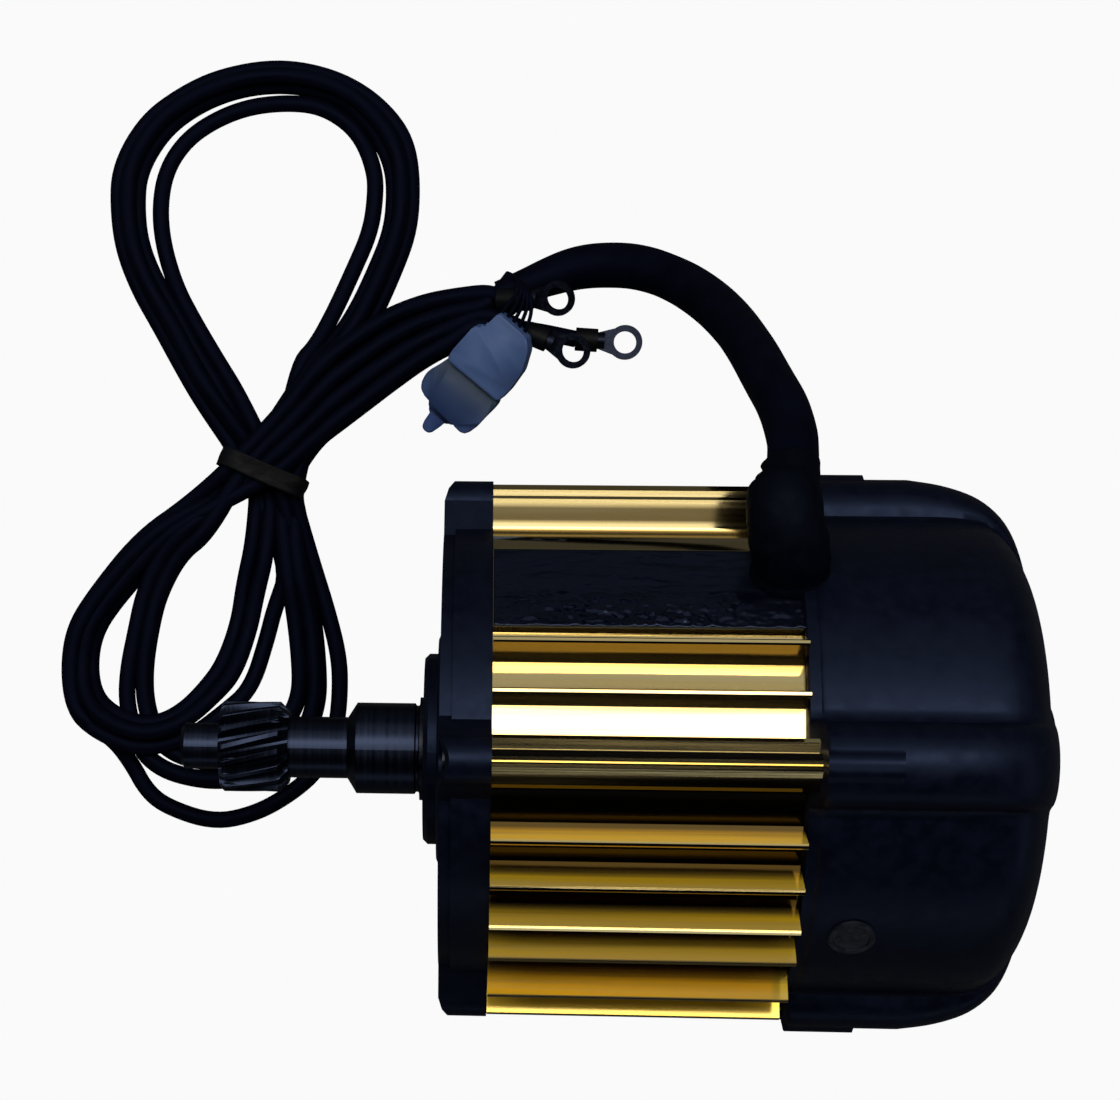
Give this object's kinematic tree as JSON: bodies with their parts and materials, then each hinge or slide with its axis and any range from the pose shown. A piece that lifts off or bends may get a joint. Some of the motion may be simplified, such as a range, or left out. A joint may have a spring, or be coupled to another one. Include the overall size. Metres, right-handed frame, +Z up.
{
  "type": "brushless dc motor",
  "caption": "Brushless motor with a gold finned housing, dark flange and rear cover, helical pinion shaft, elbow cable outlet and folded leads with ring terminals.",
  "frame": {"origin": "centre of the flange's mounting face, on the shaft axis", "axes": "+X along the shaft axis towards the rear cover, so the pinion points to -X; +Z up with the motor lying on its side; +Y towards the cable outlet's side"},
  "size_m": [0.2675, 0.266, 0.144],
  "materials": {
    "black_paint": "semi-gloss black paint with a blue cast",
    "gold_aluminium": "gold coloured, drawn along the motor",
    "bolt_steel": "blackened steel",
    "film": "glossy dark film, bare",
    "plug_plastic": "dark",
    "lamination_steel": "stacked sheet steel",
    "nylon_white": "natural nylon",
    "copper": "enamelled copper wire",
    "board_green": "circuit board",
    "seal_rubber": "black",
    "spring_steel": "dark spring steel",
    "bearing_steel": "ground bearing steel",
    "shaft_steel": "dark oiled steel with a blue cast",
    "magnet": "nickel plated",
    "balance_aluminium": "machined",
    "boot_rubber": "moulded black rubber",
    "cable_jacket": "dark jacket with a blue cast",
    "lead_jacket": "dark jacket with a blue cast",
    "lead_olive": "dark olive brown jacket",
    "tie_brown": "dark olive brown band",
    "sleeve_brown": "dark brown sleeve",
    "sleeve_dark": "dark sleeve",
    "terminal_tin": "tinned copper, dull",
    "connector_nylon": "translucent bluish nylon",
    "core_dark": "thin insulated cores"
  },
  "bodies": {
    "housing": {"front_flange": "black_paint", "stator_frame": "gold_aluminium", "rear_cover": "black_paint", "tie_bolts": "bolt_steel", "label_film": "film", "side_plug": "plug_plastic", "stator_core": "lamination_steel", "insulator_front": "nylon_white", "insulator_rear": "nylon_white", "stator_windings": "copper", "hall_board": "board_green", "board_posts": "nylon_white", "oil_seal": "seal_rubber", "flange_circlip": "spring_steel", "wave_washer": "spring_steel", "front_bearing_outer": "bearing_steel", "rear_bearing_outer": "bearing_steel", "cable_boot": "boot_rubber", "trunk_cable": "cable_jacket", "lead_hank": "lead_jacket", "hank_tie": "tie_brown", "phase_lead_a": "lead_olive", "phase_lead_b": "lead_jacket", "phase_lead_c": "lead_jacket", "ring_terminal_a": "terminal_tin", "ring_terminal_b": "terminal_tin", "ring_terminal_c": "terminal_tin", "terminal_sleeve_a": "sleeve_brown", "terminal_sleeve_b": "sleeve_dark", "terminal_sleeve_c": "sleeve_dark", "hall_connector": "connector_nylon", "connector_contacts": "terminal_tin", "hall_cores": "core_dark"},
    "rotor": {"rotor_shaft": "shaft_steel", "rotor_core": "lamination_steel", "rotor_magnets": "magnet", "balance_ring_front": "balance_aluminium", "balance_ring_rear": "balance_aluminium", "dust_ring": "seal_rubber", "front_bearing_inner": "bearing_steel", "rear_bearing_inner": "bearing_steel"},
    "front_cage": {"front_bearing_balls": "bearing_steel"},
    "rear_cage": {"rear_bearing_balls": "bearing_steel"}
  },
  "joints": [
    {"name": "shaft_spin", "type": "hinge", "parent": "housing", "child": "rotor", "pos_m": [0, 0, 0], "axis": [1, 0, 0], "continuous": true},
    {"name": "front_cage_spin", "type": "hinge", "parent": "housing", "child": "front_cage", "pos_m": [0, 0, 0], "axis": [1, 0, 0], "continuous": true},
    {"name": "rear_cage_spin", "type": "hinge", "parent": "housing", "child": "rear_cage", "pos_m": [0, 0, 0], "axis": [1, 0, 0], "continuous": true}
  ],
  "couplings": [
    {"joint": "front_cage_spin", "follows": "shaft_spin", "ratio": 0.3983},
    {"joint": "rear_cage_spin", "follows": "shaft_spin", "ratio": 0.384}
  ]
}
